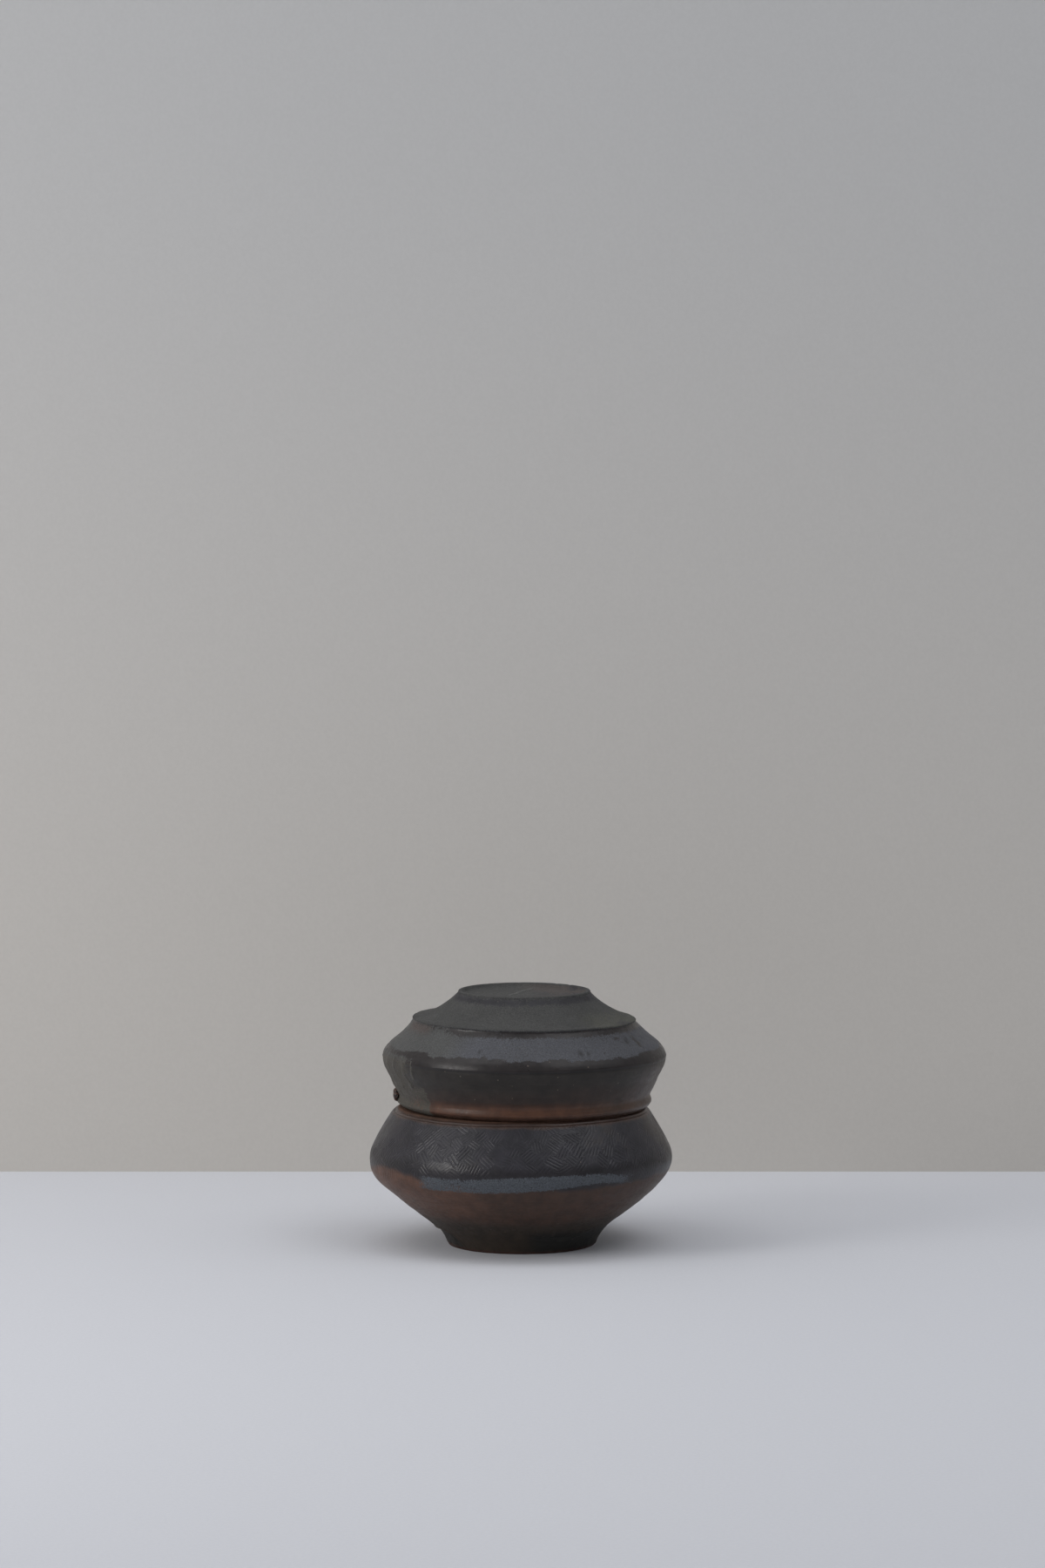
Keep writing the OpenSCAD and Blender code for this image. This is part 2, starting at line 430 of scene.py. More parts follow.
jar = Lathe(
    [
        ("under", under, 1.3, 120),
        ("foot_edge", foot_edge, 0.4, 480),
        ("foot", np.vstack([foot_edge[-1:], skin[: cut[0] + 1]]), 0.6, 480),
        ("cone", skin[cut[0] : cut[1] + 1], 0.8, 480),
        ("wall", skin[cut[1] :], 0.47, 960),
        ("lip", lip, 0.3, 480),
        ("ledge", [(57.2, 63.8), (52.7, 63.8)], 0.75, 240),
        ("collar", collar, 0.55, 240),
        ("inside", inside, 1.5, 120),
    ]
)


def jar_relief(g):
    """How far each point of the jar moves: along its normal, outward and up."""
    P, deg, z = g.P, g.deg, g.Z
    out = np.zeros(len(z))
    dr = np.zeros(len(z))
    dz = np.zeros(len(z))
    outer = g.within("foot_edge", "foot", "cone", "wall", "lip")
    body = g.within("foot", "cone", "wall")
    # thrown by hand: slightly out of round, gently lumpy, always inwards
    th = np.radians(deg)
    out -= outer * smooth(z, 2, 14) * (
        0.10 * (1 + np.sin(2 * th + 0.7 + z * 0.02))
        + 0.16 * (0.8 + fbm(P, 26, 3, seed=1))
    )
    # the wall is fuller under the belly on the left and drawn in on the right
    out += body * bump_at(z, 32.0, 5.0) * (
        0.95 * bump_at(wrap(deg + 95), 0, 52) - 0.25 * bump_at(wrap(deg - 95), 0, 45)
    )
    # throwing rings on the lower cone, softer above
    ring_p = np.stack([np.cos(th) * 0.9, np.sin(th) * 0.9, z * 0.42], 1)
    out += body * 0.075 * fbm(ring_p, 1.0, 3, seed=8) * (
        1 - 0.6 * smooth(z, 34, 40)
    ) * smooth(z, 3, 10)
    # paddle marks, from the lip to just under the belly
    wall = g.within("wall", "lip")
    up = np.where(wall, g.S - g.s[np.where(g.zone == "wall")[0][0]], 0.0)
    band = np.zeros(len(z))
    groove = np.zeros(len(z))
    phase = np.zeros(len(z))
    amp = np.zeros(len(z))
    top = 62.6 + 0.2 * np.sin(th * 3 + 1)
    low = 35.2 + 1.1 * np.sin(th * 2 + 0.4)
    band[wall] = (smooth(z, low - 1.2, low + 2.4) * (1 - smooth(z, top - 0.8, top)))[wall]
    g1, p1, a1 = paddle(deg[wall], up[wall], P[wall])
    groove[wall], phase[wall], amp[wall] = g1, p1, a1
    # softer under the belly's turn, where the ash lies over them
    band *= 1 - 0.45 * (1 - smooth(z, 38, 43))
    out -= 0.17 * band * groove
    # grainy ash under the belly
    ash_zone = bump_at(z, 36.4, 3.4) * sector(deg, 2, 42, 14)
    out += outer * 0.06 * ash_zone * fbm(P, 1.5, 2, seed=21)
    # the lip: a soft uneven edge, lower at the left
    edge = g.within("lip", "ledge") & (g.R > 56.3)
    lip_w = np.where(edge, smooth(g.R, 56.2, 57.2), 0) + np.where(
        wall, smooth(z, 61.2, 62.6), 0
    )
    dz -= lip_w * (0.45 * bump_at(wrap(deg + 78), 0, 42) + 0.10 * (1 + fbm(P, 9, 2, seed=3)))
    # the foot: a cut facet at the left under a curled edge
    top_line = np.interp(
        deg, [-118, -100, -84, -66, -55, -51.5, -49, -46.5],
        [1.5, 4.6, 7.9, 8.7, 7.3, 5.0, 2.6, 0.4],
    )
    below = smooth(top_line - z, -0.25, 0.45) * sector(deg, -82, 35, 1.5)
    foot_zone = g.within("foot_edge", "foot")
    out -= foot_zone * below * (0.75 + 0.15 * fbm(P, 3, 2, seed=13))
    out += foot_zone * 0.28 * bump_at(z - top_line, 0.55, 0.6) * sector(deg, -82, 34, 3)
    # a smear of clay folded up at the right front, with two small knobs
    smile = np.interp(
        deg, [-2, 1, 9.5, 17, 24, 30, 35, 43, 50],
        [10.6, 10.1, 8.5, 7.6, 7.2, 7.1, 7.3, 8.6, 10.2],
    )
    along = sector(deg, 27, 15, 12)
    out += foot_zone * along * (
        0.42 * bump_at(z - smile, -0.25, 0.55)
        - 0.22 * bump_at(z - smile, 0.75, 0.45)
        + 0.16 * smooth(smile - z, 0, 0.8) * smooth(z, 1.5, 3.5)
    )
    for kd, kz, kr, kh in ((20.5, 9.7, 1.25, 0.65), (43.0, 9.0, 1.0, 0.6), (14.0, 8.9, 0.7, 0.3)):
        d2 = ((wrap(deg - kd) * 0.0175 * 39) ** 2 + (z - kz) ** 2) / kr**2
        out += foot_zone * kh * np.exp(-d2 * 1.4)
    # rough trimmed edge where it stands, chipped a little
    chip = smooth(fbm(P, 3.2, 3, seed=17), 0.05, 0.75)
    out -= g.within("foot_edge", "foot") * (1 - smooth(z, 1.2, 4.0)) * smooth(z, 0.02, 0.5) * (
        0.10 + 0.32 * chip
    )
    # grains of grit melted into the skin
    for gd, gz, gr, gh in (
        (51.5, 18.4, 0.55, 0.4), (36.0, 44.8, 0.8, 0.35), (33.0, 44.0, 0.5, 0.3), (-63.0, 26.0, 0.5, 0.3),
        (-25.0, 51.0, 0.45, 0.25), (148.0, 47.0, 0.9, 0.4), (-131.0, 30.0, 0.7, 0.4), (171.0, 21.0, 0.6, 0.35),
        (104.0, 55.0, 0.5, 0.3), (65.5, 42.1, 0.5, 0.25),
    ):
        d2 = ((wrap(deg - gd) * 0.0175 * g.R) ** 2 + (z - gz) ** 2) / gr**2
        out += body * gh * np.exp(-d2 * 1.6)
    # inside: throwing rings that climb, and a small turned button on the floor
    ins = g.within("inside")
    climb = g.S + th / TAU * 4.6
    depth_in = smooth(g.R, 2, 12)
    out += ins * (
        0.22 * depth_in * np.sin(climb / 4.6 * TAU)
        + 0.10 * fbm(P, 14, 2, seed=4)
        + 0.5 * bump_at(g.R, 0, 5)
    ) * (1 - smooth(z, 57, 60.5))
    # the collar's top runs slightly out of true
    out -= g.within("collar") * smooth(z, 66, 68.5) * (0.12 + 0.12 * fbm(P, 22, 2, seed=6))
    # the underside: rings left by the turning tool
    un = g.within("under")
    out -= un * smooth(g.R, 1, 5) * (1 - smooth(g.R, 24, 28)) * 0.10 * (
        1 + np.sin(g.R * 2.3 + th)
    )
    return out, dr, dz, {"phase": phase, "groove": amp * band * 0.15}


def jar_paint(g, extra):
    P, deg, z, R = g.P, g.deg, g.Z, g.R
    n = len(z)
    warp = fbm(P, 17, 4, seed=40)
    fine = fbm(P, 5, 3, seed=41)
    broad = fbm(P, 42, 3, seed=42)

    blue = np.array([0.0215, 0.0200, 0.0255])
    bronze = np.array([0.034, 0.0265, 0.0235])
    belly = np.array([0.0165, 0.0145, 0.0170])
    copper = np.array([0.052, 0.0265, 0.0170])
    russet = np.array([0.100, 0.0480, 0.0300])
    foot = np.array([0.030, 0.0235, 0.0165])
    green = np.array([0.0130, 0.0135, 0.0115])
    clay = np.array([0.115, 0.060, 0.038])
    lipc = np.array([0.060, 0.036, 0.028])

    tone = np.tile(blue, (n, 1))
    tone = mix(tone, bronze, smooth(broad + 0.5 * fine, -0.1, 0.75) * 0.85)
    tone = mix(tone, belly, (1 - smooth(z + 1.5 * warp, 42, 47)) * 0.9)
    # lower cone: coppery brown with a wavy upper limit
    line = 34.6 + 2.0 * bump_at(wrap(deg + 62), 0, 24) * 3.0 + 1.6 * bump_at(wrap(deg - 72), 0, 28)
    lower = 1 - smooth(z + 1.3 * warp + 0.5 * fine, line - 1.4, line + 1.2)
    cone_c = mix(np.tile(copper, (n, 1)), russet, 0.85 * sector(deg, -62, 30, 26) * smooth(z, 12, 24))
    cone_c = mix(cone_c, foot, (1 - smooth(z + 1.2 * warp, 12.5, 19)) * 0.8)
    tone = mix(tone, cone_c, lower)
    # dark greenish pool round the fold of the foot
    pool = sector(deg, 40, 26, 16) * (1 - smooth(z + 0.8 * warp, 8.0, 12.0))
    tone = mix(tone, green, pool * 0.9)
    # cut facet, bare and painted dark: painted shade of its recess
    top_line = np.interp(
        deg, [-118, -100, -84, -66, -55, -51.5, -49, -46.5],
        [1.5, 4.6, 7.9, 8.7, 7.3, 5.0, 2.6, 0.4],
    )
    facet = smooth(top_line - z, -0.1, 0.5) * sector(deg, -82, 35, 1.5) * g.within("foot", "foot_edge")
    tone = mix(tone, np.array([0.020, 0.0185, 0.0155]), facet * 0.9)
    # foot edge, thin dark red clay
    tone = mix(tone, np.array([0.060, 0.022, 0.014]), (1 - smooth(z, 0.5, 1.5)) * 0.85)
    # lip
    tone = mix(tone, lipc, smooth(z + 0.5 * fine, 60.6, 62.2) * 0.9)
    # bare clay: underside, ledge, and the collar's outer face and top
    bare = g.within("under").astype(float)
    tone = mix(tone, clay * 0.75, bare)
    ledge = g.within("ledge") * 1.0
    tone = mix(tone, clay * (0.85 + 0.15 * fine[:, None]), ledge)
    bare = np.maximum(bare, ledge)
    col = g.within("collar") * 1.0
    tone = mix(tone, mix(np.tile(clay * 0.8, (n, 1)), np.array([0.035, 0.022, 0.017]), smooth(warp + fine, -0.4, 0.6)), col)
    ins = g.within("inside") * 1.0
    chestnut = mix(
        np.tile(np.array([0.043, 0.0235, 0.0150]), (n, 1)),
        np.array([0.020, 0.0145, 0.0125]),
        smooth(warp + 0.4 * fine, -0.5, 0.7),
    )
    chestnut = mix(chestnut, np.array([0.050, 0.038, 0.022]), (1 - smooth(R, 4, 26)) * (z < 15) * 0.6)
    tone = mix(tone, chestnut, ins)

    outer = g.within("foot_edge", "foot", "cone", "wall", "lip") * 1.0
    # bluish speckled ash under the belly, fading out to the sides and wavy
    hi = 39.6 + 1.6 * bump_at(deg, 30, 16) + 0.9 * np.sin(np.radians(deg) * 5 + 1)
    lo = 33.2 + 2.4 * bump_at(deg, 33, 18) + 0.8 * np.sin(np.radians(deg) * 4)
    ash = smooth(z, lo - 1.2, lo + 1.0) * (1 - smooth(z, hi - 1.0, hi + 1.4))
    round_it = np.maximum(sector(deg, 3, 36, 16), 0.7 * sector(deg, 176, 52, 22))
    ash = ash * round_it * (0.75 + 0.35 * warp)
    # light dusting over the shoulder's left and right
    dusting = 0.16 * smooth(z, 46, 60) * (1 - smooth(z, 60, 62)) * smooth(warp + broad, -0.2, 1.0)
    ash = outer * np.clip(np.maximum(ash, dusting), 0, 1)
    dust = np.tile(np.array([0.070, 0.078, 0.090]), (n, 1))

    rough = 0.36 + 0.05 * warp + 0.03 * fine
    rough = rough + 0.06 * lower + 0.10 * (1 - smooth(z, 8, 20)) * outer
    rough = np.where(facet > 0.4, 0.55, rough)
    rough = rough * (1 - bare) + 0.86 * bare
    rough = rough * (1 - col) + (0.62 + 0.1 * fine) * col
    rough = rough * (1 - ins) + (0.30 + 0.06 * fine) * ins
    lines = outer * lower * 0.035 + ins * 0.012 + g.within("under") * 0.03
    lines += outer * (1 - lower) * 0.008
    peel = 0.020 * outer * (1 - 0.4 * lower) + 0.030 * bare + 0.008 * ins + 0.018 * col
    return {
        "tone": tone * (1 + 0.10 * fine[:, None] * (outer[:, None] + ins[:, None])),
        "dust": dust,
        "ash": ash,
        "rough": np.clip(rough, 0.12, 0.95),
        "lines": lines,
        "peel": peel,
        **extra,
    }


def bands_for(g, groups):
    """Rings of each named stretch, for the texture sheet."""
    out = []
    for first, last, halves, v0, v1 in groups:
        rows = np.where(g.zone == first)[0][0] - (1 if first != g.zone[0] else 0)
        end = np.where(g.zone == last)[0][-1]
        out.append((int(rows), int(end), halves, v0, v1))
    return out


out, dr, dz, extra = jar_relief(jar)
co = jar.points(out, dr, dz)
# never outside the CAD solid's own box
rad = np.hypot(co[:, 0], co[:, 1])
co[:, :2] *= np.minimum(1.0, 69.97 / np.maximum(rad, 1e-6))[:, None]
co[:, 2] = np.maximum(co[:, 2], 0.0)
jar_ob = jar.build(
    "jar_body",
    co,
    0.0,
    bands_for(jar, [
        ("under", "under", False, 0.006, 0.075),
        ("foot_edge", "ledge", True, 0.085, 0.815),
        ("collar", "inside", False, 0.825, 0.994),
    ]),
    jar_paint(jar, extra),
)

# ---- the lid ---------------------------------------------------------------
wall_skin = through(LID_WALL, 12)
top_skin = through(LID_TOP, 12)
lid_lining = inward(through(LID_WALL, 4), 4.4)
lid_bore = through(
    [(54.6, 67.2), (54.8, 69.8)]
    + [tuple(lid_lining[i * 4]) for i in range(8, 17)]
    + [(48.0, 100.2), (44.4, 102.4), (39.6, 104.6), (35.0, 107.0), (30.0, 109.4),
       (23.0, 110.5), (12.0, 110.8), (0.0, 110.9)],
    8,
)
k_roll = int(np.argmin(np.abs(wall_skin[:240, 1] - 69.2)))
crest = np.vstack([top_skin[-1:], through([(30.7, 116.9), (30.5, 117.4), (30.0, 117.68), (29.0, 117.68), (28.4, 117.3)], 4)[1:]])
dish = through([(28.4, 117.3), (27.7, 116.7), (26.1, 116.2), (22.1, 115.9), (12, 115.82), (0, 115.8)], 8)
lid = Lathe(
    [
        ("inside", np.vstack([lid_bore[::-1], [(54.5, 64.3)]]), 1.5, 120),
        ("rim", [(54.5, 64.3), (54.9, 63.8), (56.0, 63.8)], 0.5, 300),
        ("roll", wall_skin[: k_roll + 1], 0.42, 600),
        ("wall", wall_skin[k_roll:], 0.58, 600),
        ("ridge", np.vstack([wall_skin[-1:], [(51.86, 104.4), (51.88, 104.75), (51.5, 105.2)]]), 0.3, 400),
        ("top", top_skin, 0.55, 400),
        ("crest", crest, 0.33, 400),
        ("dish", dish, 0.62, 200),
    ]
)

# runs of melted ash down the left: angle at the top and the foot, start and
# end height, half width, thickness
RUNS = [
    (-66.5, -65.0, 91.5, 75.2, 1.05, 0.50), (-59.5, -56.8, 91.0, 76.0, 0.95, 0.46),
    (-74.0, -72.0, 92.0, 71.5, 1.5, 0.42), (-83.0, -80.5, 92.0, 74.0, 1.2, 0.40),
    (-53.0, -51.5, 91.0, 81.0, 0.8, 0.22), (-96.0, -95.0, 92.0, 70.5, 1.6, 0.42),
    (-108.0, -107.0, 92.0, 78.0, 1.2, 0.36), (-121.0, -119.5, 92.0, 73.0, 1.5, 0.40),
    (-137.0, -138.0, 92.0, 80.0, 1.2, 0.30), (-152.0, -151.0, 92.0, 76.0, 1.1, 0.28),
    (170.0, 171.0, 91.5, 82.0, 1.0, 0.20),
]


def run_field(deg, z, R):
    """Thickness of the runs here, and how far inside one this point is."""
    thick = np.zeros(len(z))
    inside_run = np.zeros(len(z))
    for a0, a1, z0, z1, half, t in RUNS:
        f = np.clip((z0 - z) / (z0 - z1), 0, 1)
        centre = a0 + (a1 - a0) * f + 0.5 * np.sin(z * 0.55 + a0)
        off = wrap(deg - centre) * 0.01745 * R
        w = half * (0.75 + 0.45 * bump_at(z, z1 + 1.4, 1.8))
        span = smooth(z, z1 - 0.9, z1 + 0.7) * (1 - smooth(z, z0 - 2.5, z0 + 1.5))
        body = np.exp(-((off / w) ** 2) * 1.2) * span
        thick = np.maximum(thick, t * body * (0.8 + 0.5 * bump_at(z, z1 + 1.4, 1.6)))
        inside_run = np.maximum(inside_run, body)
    return thick, inside_run


def ash_edge(deg, P):
    """Height of the ragged lower edge of the ash on the lid."""
    return (
        92.6
        + 0.9 * fbm(P, 7, 3, seed=60)
        + 0.5 * fbm(P, 2.2, 2, seed=61)
        - 0.5 * np.sin(np.radians(deg) * 2)
    )


def lid_relief(g):
    P, deg, z, R = g.P, g.deg, g.Z, g.R
    th = np.radians(deg)
    out = np.zeros(len(z))
    dr = np.zeros(len(z))
    dz = np.zeros(len(z))
    side = g.within("roll", "wall")
    outer = g.within("roll", "wall", "ridge", "top", "crest", "dish")
    out -= outer * (
        0.07 * (1 + np.sin(2 * th + 2.1 + z * 0.02)) + 0.13 * (0.8 + fbm(P, 22, 3, seed=2))
    ) * (1 - 0.7 * g.within("crest"))
    ring_p = np.stack([np.cos(th) * 0.8, np.sin(th) * 0.8, z * 0.5], 1)
    out += side * 0.05 * fbm(ring_p, 1.0, 3, seed=9) * smooth(z, 69, 72)
    # a fine turned line where the shoulder meets the wall
    z_line = 87.0 + 0.25 * np.sin(th + 0.5) - 0.5 * smooth(deg, 30, 75) * (deg < 120)
    out -= side * 0.20 * bump_at(z - z_line, 0, 0.38)
    out += side * 0.10 * bump_at(z - z_line, 0.9, 0.6)
    # the roll at the rim: a crease above its lower edge
    out -= g.within("roll") * 0.16 * bump_at(z, 65.75 + 0.15 * np.sin(th * 2), 0.30)
    # the rim lifts a little at the left, so the gap opens there
    lift = 0.55 * bump_at(wrap(deg + 78), 0, 46)
    dz += np.where(g.within("roll", "rim", "inside"), (1 - smooth(z, 64.4, 67.5)) * lift, 0)
    # runs of ash
    thick, _ = run_field(deg, z, R)
    out += side * thick * 0.9
    # ash lies in a thin skin with a slightly raised ragged edge
    edge = ash_edge(deg, P)
    cover = side * smooth(z - edge, -0.3, 0.5)
    out += cover * 0.06 + side * 0.05 * bump_at(z - edge, 0.2, 0.5)
    out += cover * 0.05 * fbm(P, 1.9, 2, seed=14)
    # the ridge droops towards the right and is a little ragged
    droop = -0.62 * np.sin(th - 0.15) + 0.14 * fbm(P, 11, 2, seed=15)
    near = bump_at(np.where(g.within("wall", "ridge", "top"), z, 0) - 104.6, 0, 2.4)
    near = np.where(g.within("ridge"), 1.0, near)
    dz += near * droop
    out -= g.within("ridge") * (0.05 + 0.10 * smooth(fbm(P, 4, 2, seed=16), 0.1, 0.8))
    # paddle or scraping lines on the upper cone, leaning to the right
    top = g.within("top")
    s = deg / 360.0 * TAU * 42.0
    lean = (s * 0.64 + (g.S - g.s[np.where(g.zone == "top")[0][0]]) * 0.77)
    lean2 = (s * 0.70 - (g.S - g.s[np.where(g.zone == "top")[0][0]]) * 0.71)
    some = smooth(fbm(P, 12, 3, seed=18), -0.4, 0.5)
    out += top * 0.05 * some * np.sin(lean * TAU / 1.55 + 1.5 * fbm(P, 8, 2, seed=19))
    out += top * 0.025 * (1 - some) * np.sin(lean2 * TAU / 1.7)
    out += top * 0.05 * fbm(P, 2.4, 3, seed=20)
    # crest: rounded, nicked; dish: faint rings and a small scratch of clay
    out -= g.within("crest") * 0.16 * smooth(fbm(P, 3.0, 3, seed=22), 0.15, 0.9)
    di = g.within("dish")
    out += di * (
        0.05 * np.sin(R * 1.9 + th) * smooth(R, 2, 8) * (1 - smooth(R, 24, 27))
        + 0.05 * fbm(P, 2.6, 3, seed=23)
    )
    line_x = np.array([-5.6, -4.2, -2.6, -1.9, 0.2, 1.2, 3.4, 5.0]) - LID_SHIFT
    line_y = np.array([-6.5, -3.2, -0.5, 3.2, 8.5, 12.0, 15.2, 19.5])
    dist = np.full(len(z), 1e9)
    for i in range(len(line_x) - 1):
        a = np.array([line_x[i], line_y[i]])
        b = np.array([line_x[i + 1], line_y[i + 1]])
        ab = b - a
        t = np.clip(((P[:, :2] - a) @ ab) / (ab @ ab), 0, 1)
        dist = np.minimum(dist, np.hypot(*(P[:, :2] - a - t[:, None] * ab).T))
    scratch = di * np.exp(-((dist / 0.65) ** 2))
    out += 0.55 * scratch
    # inside: climbing throwing rings
    ins = g.within("inside")
    climb = g.S + th / TAU * 5.2
    out += ins * (0.2 * np.sin(climb / 5.2 * TAU) * smooth(R, 2, 10) + 0.08 * fbm(P, 12, 2, seed=24)) * smooth(
        z, 69, 74
    )
    # grains of grit
    for gd, gz, gr, gh in (
        (10.0, 82.0, 0.45, 0.30), (-30.0, 80.0, 0.40, 0.25), (-12.0, 77.5, 0.35, 0.22), (13.0, 89.5, 0.5, 0.30),
        (26.0, 95.0, 0.9, -0.25), (54.5, 97.6, 0.8, -0.2), (-40.0, 88.5, 0.4, 0.2), (140.0, 80.0, 0.7, 0.4),
        (-160.0, 84.0, 0.6, 0.35), (95.0, 78.0, 0.5, 0.3), (120.0, 92.0, 0.8, 0.35),
    ):
        d2 = ((wrap(deg - gd) * 0.0175 * R) ** 2 + (z - gz) ** 2) / gr**2
        out += side * gh * np.exp(-d2 * 1.6)
    return out, dr, dz, {
        "phase": np.where(top, lean / 1.55, 0.0),
        "groove": top * 0.03 * some,
        "_scratch": scratch,
    }


def lid_paint(g, extra):
    P, deg, z, R = g.P, g.deg, g.Z, g.R
    n = len(z)
    scratch = extra.pop("_scratch")
    warp = fbm(P, 15, 4, seed=70)
    fine = fbm(P, 4.5, 3, seed=71)
    broad = fbm(P, 38, 3, seed=72)
    side = g.within("roll", "wall") * 1.0

    satin = np.array([0.0165, 0.0130, 0.0130])
    olive = np.array([0.0200, 0.0165, 0.0135])
    brown = np.array([0.0300, 0.0185, 0.0140])
    orange = np.array([0.090, 0.0370, 0.0190])
    rim_r = np.array([0.066, 0.0370, 0.0250])
    clay = np.array([0.115, 0.060, 0.038])

    tone = np.tile(satin, (n, 1))
    down = 1 - smooth(z + 0.9 * warp, 70.5, 87.5)
    wall_c = mix(np.tile(olive, (n, 1)), brown, smooth(down + 0.35 * broad, 0.25, 0.9))
    tone = mix(tone, wall_c, side * (1 - smooth(z, 86.6, 87.4)))
    rim = side * (1 - smooth(z + 0.6 * warp, 68.6, 73.6))
    rim_c = mix(np.tile(orange, (n, 1)), rim_r, smooth(deg + 8 * warp, 12, 48))
    tone = mix(tone, rim_c, rim * 0.92)
    # painted shade: the roll's lower edge darkened, next to the gap over the jar
    tone = mix(tone, np.array([0.036, 0.0195, 0.0140]), side * (1 - smooth(z, 65.2, 66.2)) * 0.8)
    # paler towards the far right
    tone = mix(tone, np.array([0.060, 0.043, 0.034]), side * sector(deg, 88, 18, 22) * (1 - smooth(z, 84, 88)) * 0.55)
    # painted shade: a near black line along the turned groove at the shoulder
    z_line = 87.0 + 0.25 * np.sin(np.radians(deg) + 0.5) - 0.5 * smooth(deg, 30, 75) * (deg < 120)
    tone = mix(tone, np.array([0.008, 0.0075, 0.0075]), side * bump_at(z - z_line, 0, 0.35) * 0.75)

    top = g.within("top", "ridge", "crest", "dish") * 1.0
    under_top = np.array([0.024, 0.023, 0.027])
    tone = mix(tone, under_top, top)

    # ash: lavender grey on the shoulder, warmer on top, olive down the left
    edge = ash_edge(deg, P)
    thick, in_run = run_field(deg, z, R)
    shoulder = side * smooth(z - edge, -0.7, 0.9)
    dark_band = bump_at(z - 103.6, 0, 2.6) * (1 - 0.5 * sector(deg, -64, 20, 12))
    shoulder = shoulder * (1 - 0.75 * side * smooth(dark_band, 0.15, 0.9))
    left = side * np.maximum(
        smooth(-(wrap(deg + 12)), 42 - 3.0, 46 + 1.5 + 2.0 * 0.0) * smooth(wrap(deg + 12), -168, -120),
        0,
    )
    # the sheet of olive ash at the left stops at a straight edge
    cut_deg = -47.0 + 0.9 * fbm(np.stack([z * 0 + 3, z * 0, z], 1), 2.2, 2, seed=64) + 14.0 * smooth(z, 73, 76.5) * (
        1 - smooth(z, 76.5, 86)) * 0.0
    sheet = side * smooth(cut_deg - deg, -0.6, 0.9) * (deg < 0) * smooth(wrap(deg), -150, -112)
    sheet_soft = side * smooth(-deg, 47, 60) * smooth(deg, -155, -115)
    on_wall = np.where(z < 74.5, sheet, np.maximum(sheet * (1 - smooth(z, 74.5, 80)), sheet_soft))
    on_wall = on_wall * (0.72 + 0.25 * warp)
    on_wall = np.maximum(on_wall, in_run * 0.95 * side)
    ash = np.maximum(shoulder * (0.86 + 0.10 * warp), on_wall * (1 - smooth(z, 90, 93)))
    # top: nearly covered, thin under the crest and at its edge
    thin_crest = bump_at(z - 115.4, 0, 1.5) * g.within("top", "crest")
    top_ash = top * (0.86 + 0.12 * warp) * (1 - 0.70 * thin_crest)
    ash = np.maximum(ash, top_ash)
    ash = np.where(g.within("ridge"), ash * 0.8, ash)
    ash = ash * (1 - 0.5 * smooth(broad + fine, 0.8, 1.4))

    lavender = np.array([0.0640, 0.0660, 0.0760])
    grey = np.array([0.0560, 0.0560, 0.0545])
    yellow = np.array([0.0800, 0.0800, 0.0660])
    oliveash = np.array([0.0620, 0.0560, 0.0460])
    dust = np.tile(lavender, (n, 1))
    dust = mix(dust, grey, top)
    dust = mix(dust, yellow, top * sector(deg, 74, 26, 18) * smooth(R, 36, 46) * 0.7)
    dust = mix(dust, yellow * 0.85, side * sector(deg, -66, 26, 18) * 0.5)
    dust = mix(dust, oliveash, side * (1 - smooth(z, 87, 92)))
    pink = np.array([0.078, 0.058, 0.052])
    dust = mix(dust, pink, g.within("dish") * sector(deg, 95, 60, 40) * smooth(R, 6, 20) * 0.45)
    dust = mix(dust, pink * 0.9, side * sector(deg, -68, 9, 8) * bump_at(z, 102.6, 1.8) * 0.8)
    dust = mix(dust, np.array([0.13, 0.13, 0.125]), scratch * 0.8)
    ash = np.maximum(ash, scratch)
    # small dark spots, two of them over small pits in the wall
    for sd, sz, sr in ((25.0, 95.0, 1.3), (28.5, 94.8, 0.9), (54.5, 97.6, 1.2), (56.0, 99.0, 0.8), (-20.0, 96.0, 0.7)):
        d2 = ((wrap(deg - sd) * 0.0175 * R) ** 2 + (z - sz) ** 2) / sr**2
        dust = mix(dust, np.array([0.018, 0.017, 0.018]), side * np.exp(-d2) * 0.85)

    # bare clay: the rim's seat and the edge of the bore; the inside is glazed thin
    rimz = g.within("rim") * 1.0
    ins = g.within("inside") * 1.0
    tone = mix(tone, clay * 0.9, rimz)
    chest = mix(
        np.tile(np.array([0.060, 0.0330, 0.0220]), (n, 1)),
        np.array([0.030, 0.0195, 0.0155]),
        smooth(warp + 0.5 * fine, -0.5, 0.6),
    )
    chest = mix(chest, clay * 0.8, 1 - smooth(z, 66.5, 69.5))
    tone = mix(tone, chest, ins)
    ash = ash * (1 - ins) * (1 - rimz)

    rough = 0.34 + 0.05 * warp + 0.02 * fine
    rough = rough + 0.07 * side * (1 - smooth(z, 84, 87))
    rough = rough * (1 - top) + 0.60 * top
    rough = rough * (1 - rimz) + 0.85 * rimz
    rough = rough * (1 - ins) + (0.50 + 0.06 * fine) * ins
    rough = rough - 0.12 * in_run * side
    lines = side * (0.012 + 0.012 * (1 - smooth(z, 68, 74))) + ins * 0.012
    peel = 0.020 * side + 0.022 * top + 0.012 * ins + 0.03 * rimz
    return {
        "tone": tone * (1 + 0.10 * fine[:, None] * (1 - rimz[:, None])),
        "dust": dust * (1 + 0.10 * warp[:, None] + 0.06 * fine[:, None]),
        "ash": np.clip(ash, 0, 1),
        "rough": np.clip(rough, 0.12, 0.95),
        "lines": lines,
        "peel": peel,
        **extra,
    }


